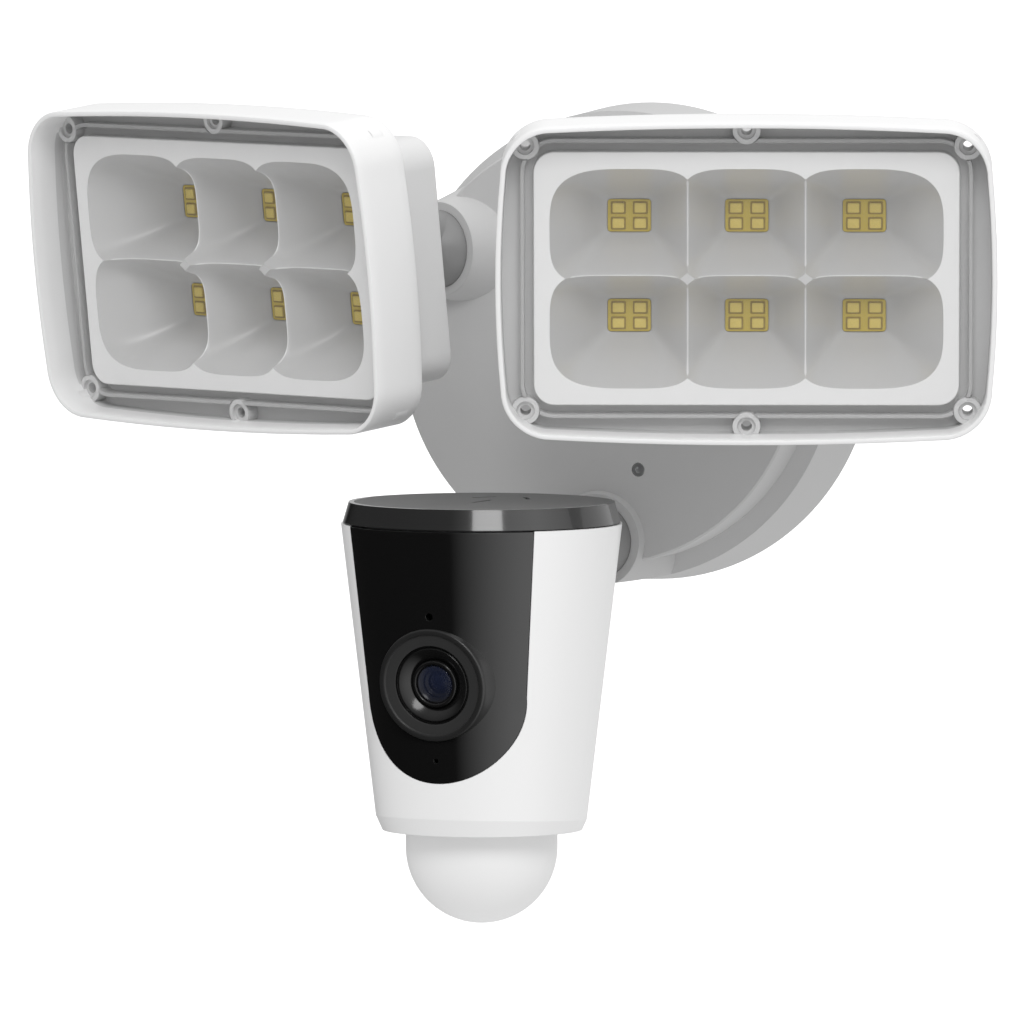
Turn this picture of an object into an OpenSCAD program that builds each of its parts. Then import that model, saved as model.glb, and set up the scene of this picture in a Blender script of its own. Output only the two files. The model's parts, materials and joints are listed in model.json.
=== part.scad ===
// Wall-mounted security camera with two floodlight heads.
// Frame: the wall is the plane y = 0, the object faces -Y, +X is to its right seen from the
// front, +Z is up, and the origin is the centre of the wall bracket's back face. Millimetres.

/* [Base] */
// Radius of the base at the wall
base_r = 73.6; // [70:0.1:90]
// Depth of the side wall, from the wall plane to its crease
side_depth = 28.4; // [24:0.1:34]
// Radius of the raised front plateau
plateau_r = 66.4; // [60:0.1:68]
// Depth of the plateau's face, from the wall plane
plateau_depth = 44.5; // [40:0.1:56]
// Wall thickness of the base shell
base_wall = 2.6; // [2:0.1:3.2]
// Thickness of the foam ring against the wall
gasket_t = 1.5; // [1:0.1:3]

/* [Wall bracket] */
// Radius of the bracket plate
bracket_r = 52; // [48:0.5:56]
// Thickness of the bracket plate
bracket_t = 2; // [1.5:0.1:3]
// Distance between the two wall screws
wall_screw_pitch = 70; // [60:0.5:84]
// Radius of a wall screw's hole
wall_screw_r = 2.6; // [2:0.1:3.5]

/* [Sockets] */
// Radius of the circle that the three socket centres lie on
socket_circle = 59; // [57:0.1:61]
// Bore radius of a socket
socket_r = 11.8; // [10:0.1:12.4]
// Wall of a socket's front ring
socket_wall = 2.6; // [2:0.1:3]
// Depth of the lamp sockets' front rings, from the wall plane
lamp_socket_depth = 49; // [47:0.1:56]
// Depth of the camera socket's front ring, from the wall plane
camera_socket_depth = 47.2; // [46:0.1:56]
// How far each lamp's socket is turned outwards, in degrees
lamp_yaw = 22.5; // [15:0.5:26]

/* [Arms] */
// Distance from a socket's front ring to the tilt hinge
hinge_out = 24; // [21:0.5:32]
// How far the neck and the hinge are offset from the socket's axis
hinge_rise = 4.2; // [0:0.1:4.4]
// Radius of an arm's neck
neck_r = 7.8; // [7:0.1:8]
// Radius of the hinge's ears
ear_r = 8.4; // [7.5:0.1:9]
// Thickness of the tongue between the ears
tongue_t = 8.4; // [7:0.1:9]
// Radius of the hinge bolt
bolt_r = 2.5; // [2:0.1:3]
// Radial running clearance of the rotating fits
run_clear = 0.05; // [0.02:0.01:0.1]
// Side and end clearance between moving pieces
side_clear = 0.3; // [0.2:0.05:0.5]

/* [Lamp heads] */
// Width of a lamp's bezel
bezel_w = 150; // [145:1:182]
// Height of a lamp's bezel
bezel_h = 97.6; // [94:0.5:118]
// Corner radius of the bezel
bezel_corner = 15; // [12:0.5:18]
// How far the bezel's sides bow outwards
bezel_crown = 1.5; // [0:0.1:2]
// How far the bezel's rim stands in front of the reflector
bezel_front = 10.1; // [6:0.1:14]
// Depth of the bezel behind the reflector's face
bezel_back = 9.5; // [9:0.1:14]
// Thickness of the bezel's rim
bezel_wall = 1.6; // [1.4:0.1:2]
// Gap between the bezel and the lamp's rear housing, all round
housing_inset = 11.5; // [10:0.5:14]
// Depth of the lamp behind the reflector's face
lamp_depth = 31; // [30:0.5:40]
// Distance between the centres of two neighbouring cups
cup_pitch = 35.3; // [33:0.1:36]
// Distance from the tilt hinge to the reflector's face
lamp_reach = 66.9; // [62:0.1:80]
// Height of the lamp's centre above the hinge, square to its face
lamp_rise = 1.4; // [0:0.1:4]
// Downward tilt of the lamps at rest, in degrees
lamp_pitch = 6.8; // [4:0.1:9]

/* [Camera head] */
// Radius of the camera housing at its top edge
camera_top_r = 42.4; // [40:0.1:50]
// Radius that the housing's taper reaches at its bottom edge
camera_bottom_r = 31.4; // [30:0.1:36]
// Height of the camera housing
camera_h = 92.6; // [86:0.1:112]
// Height of the cap above the housing
cap_h = 6.5; // [5:0.1:9]
// Distance from the camera's hinge to the housing's axis
camera_reach = 63.1; // [60:0.1:76]
// Height of the housing's top edge above the hinge
camera_hinge_drop = 15.1; // [12:0.1:20]
// Distance from the housing's top edge down to the lens
lens_drop = 46.5; // [44:0.1:50]
// Outer radius of the lens ring
lens_ring_r = 17.1; // [15:0.1:18]
// Radius of the motion sensor's dome
dome_r = 22.9; // [20:0.1:24]
// Wall thickness of the camera's shells
camera_wall = 2.2; // [1.8:0.1:2.6]

/* [Hidden] */
$fn = 96;
eps = 0.01;         // overlap of cuts with the faces that they open
fit_gap = 0.2;      // gap between pieces that are dropped into each other
stack_gap = 0.1;    // gap between the rings of an arm's stack

// Which socket a piece belongs to
LEFT = 0;
RIGHT = 1;
CAMERA = 2;
socket_angle = [150, 30, 270];
socket_yaw = [-lamp_yaw, lamp_yaw, 0];
socket_depth = [lamp_socket_depth, lamp_socket_depth, camera_socket_depth];
arm_turn = [0, 0, 180];

// Base, all depths measured from the wall
draft = 1.6;                            // how much the side wall narrows towards the front
crease_r = base_r - draft;
land_depth = side_depth + 1.6;          // the chamfered land between side wall and plateau
cover_t = 3;
cover_depth = gasket_t + 0.5;
ledge_depth = cover_depth + cover_t + 1;
ledge_t = 2.5;
ledge_w = 4.5;
inner_r = base_r - base_wall;
cover_r = inner_r - draft / 4 - fit_gap;
cavity_depth = plateau_depth - base_wall;
post_circle = plateau_r - base_wall - 2.2;
post_r = 4.2;
post_angles = [90, 210, 330];
cover_screw_r = 1.7;
cover_screw_h = 12;
cover_screw_head = [3.4, 1.6];          // radius and height
standoff_r = 3;
standoff_inset = 5;
lock_at = [13, -37];                    // one lock screw, the other is opposite
lock_r = 1.5;
lock_post_r = 4;
lock_sink = 1.4;                        // depth of a lock screw's head below the plateau
lock_head_r = lock_r + 0.5;
inlet_r = 3.5;
grommet_r = 7;
grommet_lip = [2.4, 1.6];               // behind and in front of the back cover
grommet_lip_t = [1.4, 2];
bracket_hole_r = grommet_r + 5;
board_depth = 12;
board_size = [72, 40, 1.6];
core_at = [-16, 4];
core_size = [20, 17, 12];
winding_size = [22, 12, 4];
can_at = [[2, 8], [13, 8], [26, 8]];
can_r = [4.8, 4.8, 6.2];
can_h = [18, 18, 16];
terminal_at = [14, -12];
terminal_size = [36, 10, 11];
terminal_pitch = 11;
terminal_hole_r = 2.4;

// Sockets, along the socket's axis from its front ring
socket_bore_depth = 9;
socket_floor = 3;
seal_t = 1;
neck_back_r = 6.5;
pocket_r = 11.2;
pocket_depth = 28;
socket_flare = 6;                       // how much the socket's cone widens at its root
flare_h = 19;
nut_r = 10;
nut_t = 4;
washer_t = 1;
stem_h = socket_bore_depth + socket_floor + washer_t + nut_t + 2 * stack_gap;
puck_shoulder = 1;                      // where the puck's dome starts below the ring
cable_r = 2.8;

// Hinge, across the arm
slot_w = tongue_t + 2 * side_clear;
ear_t = 3.6;
fork_w = slot_w + 2 * ear_t;
bolt_head_r = 4.3;
bolt_head_t = 2.6;
tongue_r = ear_r - 0.4;
bolt_socket_r = 1.8;
tongue_root = 12;                       // where the bracket may become wider than the slot
slot_half_h = 12;                       // more than half of the fork's height
slot_floor = 5.6;                       // depth of the slot behind the hinge's axis

// Lamp, w measured forwards from the reflector's face
channel_w = -4.5;
floor_w = -7;
plate_w = bezel_w - 22.6;
plate_h = bezel_h - 20.8;
plate_corner = 6.3;
lip = 2.7;
open_w = plate_w - 2 * lip;
open_h = plate_h - 2 * lip;
housing_w = bezel_w - 2 * housing_inset;
housing_h = bezel_h - 2 * housing_inset;
housing_corner = 9;
housing_wall = 2.2;
flange_w = housing_w + 7;
flange_h = housing_h + 7;
flange_t = 2.5;
row_pitch = 30.4;
led_w = -24.1;
led_plate = [13, 9.9, 0.5];
chip = [3.5, 3.1, 0.5];
chip_pitch = [5.1, 4.3];
cup_floor = [13.6, 10.5];
cup_wall = 1.1;
led_board_t = 1.6;
rib_gap = 2.8;
rib_t = 1.2;
window_gap = 0.1;                       // between the reflector's face and the window
window_t = 1.6;
boss_r = 4.2;
boss_top = -0.6;
boss_hole_r = 1.6;
boss_sink_r = boss_hole_r + 1.1;
boss_at = [for (x = [-1, 1], y = [-1, 1]) [x * (bezel_w / 2 - 8.8), y * (bezel_h / 2 - 8.6)],
           for (y = [-1, 1]) [0, y * (bezel_h / 2 - 3.9)]];
screw_at = [for (x = [-1, 1], y = [-1, 1]) [x * 45, y * (housing_h / 2 + 2.2)]];
rear_rib_t = 1.8;
rear_rib_h = 3;
rear_rib_pitch = 12;
foot = [26, 22, 4];                     // the lamp bracket's foot on the rear housing
foot_corner = 4;
foot_at = -lamp_depth - rear_rib_h;     // the housing's pad that the foot stands on
foot_screw_at = [for (x = [-1, 1]) [x * 9, 0]];
foot_screw_r = 1.7;
foot_screw_head = [3, 1.5];
foot_recess = [3.2, 1.6];               // radius and depth of the recess for a foot screw
foot_access = 8;                        // room for a screw's head beside the stalk
stalk_w = 15;                           // width of the bracket between foot and tongue
stalk_corner = 4;
bezel_screw_r = 1.2;
bezel_screw_head = [2, 1.2];

// Camera, z measured down from the housing's top edge
taper = (camera_top_r - camera_bottom_r) / camera_h;
face_half_angle = 45.4;
face_drop = 74.1;                       // lowest point of the face plate
face_t = 2;
face_holes = [[20.6, 1.1], [-23, 0.7]]; // height above the lens and radius of each hole
chamfer_slope = 0.45;
chamfer_r = camera_bottom_r - 1.2;
chamfer_shift = 0.54;                   // makes the bottom chamfer deeper at the front
cap_top_r = camera_top_r - 2.3;
cap_foot_r = camera_top_r - 0.5;
trim_t = 1.6;
trim_half_angle = 95;
cap_spigot = 5;
lens_tilt = atan(taper);
barrel_r = 7.15;
lens_glass_r = 5.7;
funnel_r = 11.8;
lens_face_r = 15.3;
lens_ring_proud = 0.8;
lens_flare = 1.6;
lens_seat = 2;                          // width of the ring's seat on the face plate
lens_glass_back = 8;
lens_glass_bulge = 14;
dome_wall = 1.2;
sensor_at = 9;
sensor_r = 4.6;
sensor_h = 5;
sensor_board_t = 1.6;
dome_neck = 6.4;                        // straight part of the dome below the housing
dome_flange = [2, 1.2];                 // how far it stands out, and its thickness
bottom_t = 2;
bottom_r = camera_bottom_r - 4;
rear_r = camera_top_r - taper * camera_hinge_drop;
camera_foot = [22, 24, 3];
camera_stalk_w = 14;
camera_screw_at = 7;
camera_screw_r = 1.4;
camera_screw_head = [2.6, 1.6];
camera_screw_seat = rear_r - camera_wall - 2.2;     // clear of the housing's curved inner wall
camera_cable_r = 4;
cap_gap = 0.3;                          // dark gap between the cap and the housing
slot_t = 1.4;                           // width of the cap's slots
slot_sink = 0.8;
main_board = [44, 1.6, 56];
main_board_drop = 16;
speaker_drop = 9.6;
camera_y = -(camera_socket_depth + hinge_out + camera_reach);
camera_z = camera_hinge_drop - socket_circle - hinge_rise;

// ---- Places ----------------------------------------------------------------------------

module on_wall() {
    rotate([90, 0, 0]) children();
}

module at_socket(i) {
    on_wall()
        translate([socket_circle * cos(socket_angle[i]), socket_circle * sin(socket_angle[i]),
                   socket_depth[i]])
            rotate([0, socket_yaw[i], 0]) children();
}

module at_arm(i) {
    at_socket(i) rotate([0, 0, arm_turn[i]]) children();
}

module at_lamp(i) {
    at_socket(i) translate([0, hinge_rise, hinge_out]) rotate([lamp_pitch, 0, 0])
        translate([0, lamp_rise, lamp_reach]) children();
}

module at_camera() {
    translate([0, camera_y, camera_z]) children();
}

// ---- Shapes that repeat ----------------------------------------------------------------

module rounded_rect(w, h, r) {
    square([w - 2 * r, h], center = true);
    square([w, h - 2 * r], center = true);
    for (x = [-1, 1], y = [-1, 1]) translate([x * (w / 2 - r), y * (h / 2 - r)]) circle(r);
}

// A rounded slab between two heights
module slab(w, h, r, from, to) {
    translate([0, 0, from]) linear_extrude(to - from) rounded_rect(w, h, r);
}

// Outline of a rectangle with round corners, whose sides bow outwards by c
corner_steps = 8;
side_steps = 6;
function bow(c, t) = c * (1 - t * t);
function corner_arc(w, h, r, c, q) =
    let (sx = q == 0 || q == 3 ? 1 : -1, sy = q < 2 ? 1 : -1)
    [for (k = [0 : corner_steps]) let (a = 90 * (q + k / corner_steps))
        [sx * (w / 2 - c - r) + r * cos(a), sy * (h / 2 - c - r) + r * sin(a)]];
function side_bow(w, h, r, c, q) =
    let (s = q < 2 ? 1 : -1)
    [for (k = [1 : side_steps - 1]) let (t = 1 - 2 * k / side_steps)
        q % 2 == 0 ? [s * t * (w / 2 - c - r), s * (h / 2 - c + bow(c, t))]
                   : [-s * (w / 2 - c + bow(c, t)), s * t * (h / 2 - c - r)]];
function crowned(w, h, r, c) =
    [for (q = [0 : 3]) each concat(corner_arc(w, h, r, c, q), side_bow(w, h, r, c, q))];

module screw(r, head, length) {
    cylinder(r = r, h = length);
    translate([0, 0, -head[1]]) cylinder(r = head[0], h = head[1]);
}

// ---- Base ------------------------------------------------------------------------------

module base_outline(extra) {
    rotate_extrude() polygon([[0, gasket_t], [base_r, gasket_t], [crease_r, side_depth],
                              [crease_r, extra], [0, extra]]);
}

module base_outer() {
    rotate_extrude() polygon([[0, gasket_t], [base_r, gasket_t], [crease_r, side_depth],
                              [plateau_r, land_depth], [plateau_r, plateau_depth - 0.6],
                              [plateau_r - 0.6, plateau_depth], [0, plateau_depth]]);
}

module base_cavity() {
    r = plateau_r - base_wall;
    rotate_extrude() polygon([[0, gasket_t - eps], [inner_r, gasket_t - eps],
                              [inner_r - draft, side_depth - 1], [r, land_depth - 1],
                              [r, cavity_depth], [0, cavity_depth]]);
}

// Places a child in the sockets' own frame without leaving the base's frame
module in_sockets() {
    for (i = [LEFT, RIGHT, CAMERA])
        translate([socket_circle * cos(socket_angle[i]), socket_circle * sin(socket_angle[i]),
                   socket_depth[i]])
            rotate([0, socket_yaw[i], 0]) children();
}

module at_locks() {
    for (s = [-1, 1]) translate([s * lock_at[0], s * lock_at[1], 0]) children();
}

module base_shell() {
    ring_r = socket_r + socket_wall;
    color("#a4a4a6") on_wall() difference() {
        union() {
            difference() {
                union() {
                    base_outer();
                    intersection() {
                        base_outline(plateau_depth + 20);
                        in_sockets() translate([0, 0, -flare_h])
                            cylinder(r1 = ring_r + socket_flare, r2 = ring_r, h = flare_h);
                    }
                }
                base_cavity();
            }
            intersection() {
                base_outline(plateau_depth + 20);
                in_sockets() translate([0, 0, -socket_bore_depth - socket_floor - eps])
                    cylinder(r = ring_r, h = socket_bore_depth + socket_floor);
            }
            for (a = post_angles) rotate(a) translate([post_circle, 0, ledge_depth])
                cylinder(r = post_r, h = cavity_depth - ledge_depth + eps);
            at_locks() translate([0, 0, ledge_depth])
                cylinder(r = lock_post_r, h = cavity_depth - ledge_depth + eps);
            translate([0, 0, ledge_depth]) difference() {
                cylinder(r = inner_r, h = ledge_t);
                translate([0, 0, -eps]) cylinder(r = inner_r - ledge_w, h = ledge_t + 2 * eps);
            }
        }
        in_sockets() {
            translate([0, 0, -socket_bore_depth]) cylinder(r = socket_r, h = 2 * flare_h);
            translate([0, 0, -pocket_depth])
                cylinder(r = neck_back_r + run_clear, h = pocket_depth);
            translate([0, 0, -pocket_depth])
                cylinder(r = pocket_r, h = pocket_depth - socket_bore_depth - socket_floor);
        }
        for (a = post_angles) rotate(a) translate([post_circle, 0, ledge_depth - eps])
            cylinder(r = cover_screw_r, h = cover_screw_h);
        at_locks() {
            cylinder(r = lock_r, h = plateau_depth + 1);
            translate([0, 0, plateau_depth - lock_sink])
                cylinder(r = lock_head_r + stack_gap, h = 2 * lock_sink);
        }
    }
}

module wall_gasket() {
    color("#2e2e30") on_wall() difference() {
        cylinder(r = base_r - 0.5, h = gasket_t);
        translate([0, 0, -eps]) cylinder(r = inner_r - 3, h = gasket_t + 2 * eps);
    }
}

module wall_bracket() {
    color("#b9bcc0") on_wall() difference() {
        cylinder(r = bracket_r, h = bracket_t);
        translate([0, 0, -eps]) {
            cylinder(r = bracket_hole_r, h = bracket_t + 2 * eps);
            at_locks() cylinder(r = lock_r, h = bracket_t + 2 * eps);
            for (s = [-1, 1]) translate([s * wall_screw_pitch / 2, 0, 0])
                cylinder(r = wall_screw_r, h = bracket_t + 2 * eps);
        }
    }
}

module back_cover() {
    color("#8d8d90") on_wall() difference() {
        union() {
            translate([0, 0, cover_depth]) cylinder(r = cover_r, h = cover_t);
            for (x = [-1, 1], y = [-1, 1])
                translate([x * (board_size[0] / 2 - standoff_inset),
                           y * (board_size[1] / 2 - standoff_inset), cover_depth])
                    cylinder(r = standoff_r, h = board_depth - cover_depth);
        }
        translate([0, 0, cover_depth - eps]) {
            cylinder(r = grommet_r, h = cover_t + 1);
            for (a = post_angles) rotate(a) translate([post_circle, 0, 0])
                cylinder(r = cover_screw_r, h = cover_t + 1);
            at_locks() cylinder(r = lock_r, h = cover_t + 1);
        }
    }
}

module back_cover_seal() {
    color("#3a3a3c") on_wall() translate([0, 0, cover_depth + cover_t]) difference() {
        cylinder(r = inner_r - 6 * fit_gap, h = seal_t);
        translate([0, 0, -eps])
            cylinder(r = inner_r - ledge_w + 2 * fit_gap, h = seal_t + 2 * eps);
        for (a = post_angles) rotate(a) translate([post_circle, 0, -eps])
            cylinder(r = post_r + 2 * fit_gap, h = 2 * seal_t);
    }
}

module back_cover_screws() {
    color("#c4c6c9") on_wall() for (a = post_angles) rotate(a)
        translate([post_circle, 0, cover_depth]) screw(cover_screw_r, cover_screw_head, cover_screw_h);
}

module lock_screws() {
    color("#6c6c70") on_wall() at_locks() {
        cylinder(r = lock_r, h = plateau_depth - lock_sink);
        translate([0, 0, plateau_depth - lock_sink]) difference() {
            cylinder(r = lock_head_r, h = lock_sink - stack_gap);
            translate([0, 0, lock_sink / 3]) cylinder(r = lock_r * 0.6, h = lock_sink, $fn = 6);
        }
    }
}

module cable_grommet() {
    color("#262628") on_wall() difference() {
        union() {
            translate([0, 0, cover_depth - grommet_lip_t[0]])
                cylinder(r = grommet_r + grommet_lip[0], h = grommet_lip_t[0]);
            translate([0, 0, cover_depth]) cylinder(r = grommet_r, h = cover_t);
            translate([0, 0, cover_depth + cover_t])
                cylinder(r = grommet_r + grommet_lip[1], h = grommet_lip_t[1]);
        }
        translate([0, 0, -eps]) cylinder(r = inlet_r, h = 20);
    }
}

module power_board() {
    color("#1f6b3c") on_wall() translate([0, 0, board_depth + board_size[2] / 2])
        cube(board_size, center = true);
}

module on_board() {
    on_wall() translate([0, 0, board_depth + board_size[2]]) children();
}

module transformer() {
    on_board() {
        color("#c9a13b") translate([core_at[0], core_at[1], 0]) linear_extrude(core_size[2])
            square([core_size[0], core_size[1]], center = true);
        color("#2b2b2b") translate([core_at[0], core_at[1], core_size[2]])
            linear_extrude(winding_size[2])
                square([winding_size[0], winding_size[1]], center = true);
    }
}

module capacitors() {
    color("#23395b") on_board() for (k = [0 : len(can_at) - 1])
        translate([can_at[k][0], can_at[k][1], 0]) cylinder(r = can_r[k], h = can_h[k]);
}

module terminal_block() {
    color("#2f8f5b") on_board() translate([terminal_at[0], terminal_at[1], 0]) difference() {
        linear_extrude(terminal_size[2]) square([terminal_size[0], terminal_size[1]], center = true);
        for (k = [-1, 0, 1]) translate([k * terminal_pitch, 0, 2])
            cylinder(r = terminal_hole_r, h = terminal_size[2]);
    }
}

module arm_seals() {
    color("#242426") for (i = [LEFT, RIGHT, CAMERA]) at_socket(i)
        translate([0, 0, -socket_bore_depth]) difference() {
            cylinder(r = socket_r - 2 * fit_gap, h = seal_t);
            translate([0, 0, -eps]) cylinder(r = neck_back_r + 0.5, h = seal_t + 2 * eps);
        }
}

// ---- Arms ------------------------------------------------------------------------------

module arm() {
    puck_r = socket_r - run_clear;
    puck_back = -socket_bore_depth + seal_t + stack_gap;
    color("#6d6d70") difference() {
        union() {
            translate([0, 0, puck_back]) cylinder(r = puck_r, h = -puck_back - puck_shoulder);
            intersection() {
                translate([0, 0, -puck_shoulder]) sphere(r = puck_r);
                translate([0, 0, -puck_shoulder - eps]) cylinder(r = puck_r, h = 2 * puck_r);
            }
            translate([0, 0, -stem_h]) cylinder(r = neck_back_r, h = stem_h);
            translate([0, hinge_rise, 0]) intersection() {
                cylinder(r = neck_r, h = hinge_out - ear_r / 2);
                translate([-fork_w / 2, -neck_r, 0]) cube([fork_w, 2 * neck_r, hinge_out]);
            }
            translate([-fork_w / 2, hinge_rise, hinge_out]) rotate([0, 90, 0])
                cylinder(r = ear_r, h = fork_w);
            translate([-fork_w / 2, hinge_rise - neck_r, hinge_out - ear_r - 3])
                cube([fork_w, 2 * neck_r, ear_r]);
        }
        translate([-slot_w / 2, hinge_rise, hinge_out]) rotate([0, 90, 0])
            cylinder(r = tongue_r + side_clear + fit_gap, h = slot_w);
        translate([-slot_w / 2, hinge_rise - slot_half_h, hinge_out - slot_floor])
            cube([slot_w, 2 * slot_half_h, slot_floor + 2 * ear_r]);
        translate([-fork_w, hinge_rise, hinge_out]) rotate([0, 90, 0])
            cylinder(r = bolt_r, h = 2 * fork_w);
        translate([0, hinge_rise / 2, -stem_h - 1]) cylinder(r = cable_r, h = stem_h + hinge_out);
    }
}

module arm_nut() {
    color("#a8a9ad") translate([0, 0, -socket_bore_depth - socket_floor - stack_gap]) difference() {
        union() {
            translate([0, 0, -washer_t]) cylinder(r = nut_r - 0.6, h = washer_t);
            translate([0, 0, -washer_t - nut_t]) cylinder(r = nut_r, h = nut_t, $fn = 6);
        }
        translate([0, 0, -stem_h]) cylinder(r = neck_back_r, h = 2 * stem_h);
    }
}

module hinge_bolt() {
    color("#8a8b8f") translate([-fork_w / 2, hinge_rise, hinge_out]) rotate([0, 90, 0]) {
        cylinder(r = bolt_r, h = fork_w);
        translate([0, 0, fork_w]) difference() {
            cylinder(r = bolt_head_r, h = bolt_head_t);
            translate([0, 0, bolt_head_t - bolt_socket_r])
                cylinder(r = bolt_socket_r, h = bolt_head_t, $fn = 6);
        }
        translate([0, 0, -bolt_head_t]) cylinder(r = bolt_head_r, h = bolt_head_t, $fn = 6);
    }
}

// A tongue from the hinge axis to a foot, along +Z from the hinge
module tongue(length) {
    difference() {
        union() {
            translate([-tongue_t / 2, 0, 0]) rotate([0, 90, 0])
                cylinder(r = tongue_r, h = tongue_t);
            translate([-tongue_t / 2, -tongue_r, 0]) cube([tongue_t, 2 * tongue_r, length]);
        }
        translate([-tongue_t, 0, 0]) rotate([0, 90, 0])
            cylinder(r = bolt_r + run_clear, h = 2 * tongue_t);
    }
}

// ---- Lamp heads ------------------------------------------------------------------------

module lamp_bracket() {
    back = foot_at - foot[2];
    color("#6d6d70") difference() {
        union() {
            translate([0, -lamp_rise, -lamp_reach]) tongue(lamp_reach + back + 1);
            translate([0, -lamp_rise, -lamp_reach + tongue_root])
                linear_extrude(lamp_reach - tongue_root + back + 1)
                    rounded_rect(stalk_w, 2 * tongue_r, stalk_corner);
            slab(foot[0], foot[1], foot_corner, back, foot_at);
        }
        for (p = foot_screw_at) translate([p[0], p[1], back]) {
            cylinder(r = foot_screw_r, h = 2 * foot[2]);
            translate([0, 0, -foot_access])
                cylinder(r = foot_recess[0], h = foot_access + foot_recess[1]);
        }
    }
}

module lamp_screws() {
    color("#b4b5b9") {
        for (p = foot_screw_at) translate([p[0], p[1], foot_at - foot[2] + foot_recess[1]])
            screw(foot_screw_r, foot_screw_head, foot[2] - foot_recess[1] + rear_rib_h + 0.6);
        for (p = screw_at) translate([p[0], p[1], floor_w - flange_t])
            screw(bezel_screw_r, bezel_screw_head, flange_t - floor_w + channel_w - 0.8);
    }
}

module lamp_housing() {
    back = -lamp_depth;
    front = floor_w - flange_t;
    color("#c9c9cb") difference() {
        union() {
            slab(housing_w, housing_h, housing_corner, back, front + eps);
            slab(flange_w, flange_h, housing_corner + 3, front, floor_w);
            for (k = [-4 : 4]) translate([k * rear_rib_pitch, 0, back - rear_rib_h / 2 + eps])
                cube([rear_rib_t, housing_h - 16, rear_rib_h], center = true);
            slab(foot[0] + 4, foot[1] + 4, foot_corner + 1, back - rear_rib_h, back + eps);
        }
        slab(housing_w - 2 * housing_wall, housing_h - 2 * housing_wall,
             housing_corner - housing_wall, back + housing_wall, floor_w + 1);
        for (p = foot_screw_at) translate([p[0], p[1], back - rear_rib_h - 1])
            cylinder(r = foot_screw_r, h = 4 * rear_rib_h);
        for (p = screw_at) translate([p[0], p[1], front - 1])
            cylinder(r = bezel_screw_r, h = 4 * flange_t);
    }
}

module lamp_heat_sink() {
    color("#b7b9bc") slab(housing_w - 2 * housing_wall - 1, housing_h - 2 * housing_wall - 1, 6,
                          -lamp_depth + housing_wall, led_board_back());
}

function led_board_back() = led_w - led_plate[2] - led_board_t;

module lamp_led_board() {
    color("#e9e9e4") slab(housing_w - 2 * housing_wall - 3, housing_h - 2 * housing_wall - 3, 5,
                          led_board_back(), led_board_back() + led_board_t);
}

module in_cups() {
    for (x = [-1, 0, 1], y = [-1, 1]) translate([x * cup_pitch, y * row_pitch / 2, 0]) children();
}

module lamp_led_plates() {
    color("#c8a94e") in_cups() translate([0, 0, led_w - led_plate[2] / 2])
        cube(led_plate, center = true);
}

module lamp_led_chips() {
    color("#dcc163") in_cups() for (x = [-1, 1], y = [-1, 1])
        translate([x * chip_pitch[0] / 2, y * chip_pitch[1] / 2, led_w + chip[2] / 2])
            cube(chip, center = true);
}

// Half width of a cup's wall at a share t of its depth, from the floor to the mouth
function flare(floor_half, mouth_half, t) = floor_half + (mouth_half - floor_half) * pow(t, 0.72);

// A trough across one direction: the cup's section, widened by grow
module trough(floor_half, low, high, length, grow) {
    steps = 5;
    side = function(mouth) [for (k = [0 : steps]) let (t = k / steps)
        [flare(floor_half, mouth, t) + grow, led_w + t * (-led_w)]];
    right = side(high);
    left = side(low);
    rotate([90, 0, 0]) linear_extrude(length, center = true)
        polygon(concat([[-right[0][0], led_w - 2 * eps], [right[0][0], led_w - 2 * eps]], right,
                       [[high + grow, 1], [-low - grow, 1]],
                       [for (k = [steps : -1 : 0]) [-left[k][0], left[k][1]]]));
}

module cup(x, y, grow) {
    half_u = cup_pitch / 2;
    outer_u = plate_w / 2 - 5 - cup_pitch;
    half_v = row_pitch / 2;
    outer_v = plate_h / 2 - 5.4 - row_pitch / 2;
    translate([x * cup_pitch, y * half_v, 0]) intersection() {
        trough(cup_floor[0] / 2, x < 0 ? outer_u : half_u, x > 0 ? outer_u : half_u, 60, grow);
        rotate([0, 0, 90]) trough(cup_floor[1] / 2, y < 0 ? outer_v : half_v,
                                  y > 0 ? outer_v : half_v, 60, grow);
    }
}

module lamp_reflector() {
    color("#d8d8da") difference() {
        union() {
            slab(plate_w, plate_h, plate_corner, -cup_wall, 0);
            intersection() {
                for (x = [-1, 0, 1], y = [-1, 1]) cup(x, y, cup_wall);
                slab(open_w - 1, open_h - 1, plate_corner, led_w, -cup_wall + eps);
            }
        }
        for (x = [-1, 0, 1], y = [-1, 1]) cup(x, y, -0.15);
    }
}

module lamp_seal() {
    color("#a9a9ab") difference() {
        slab(plate_w + 2 * (rib_gap + rib_t), plate_h + 2 * (rib_gap + rib_t),
             plate_corner + rib_gap + rib_t, channel_w, -fit_gap);
        slab(plate_w + 2 * rib_gap, plate_h + 2 * rib_gap, plate_corner + rib_gap,
             channel_w - 1, 1);
        for (p = boss_at) translate([p[0], p[1], channel_w - 1])
            cylinder(r = boss_r + stack_gap, h = 2 * bezel_back);
    }
}

module lamp_window() {
    color("#e8eef0", 0.25)
        slab(plate_w + 2 * rib_gap + rib_t, plate_h + 2 * rib_gap + rib_t,
             plate_corner + rib_gap + rib_t / 2, window_gap, window_gap + window_t);
}

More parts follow.
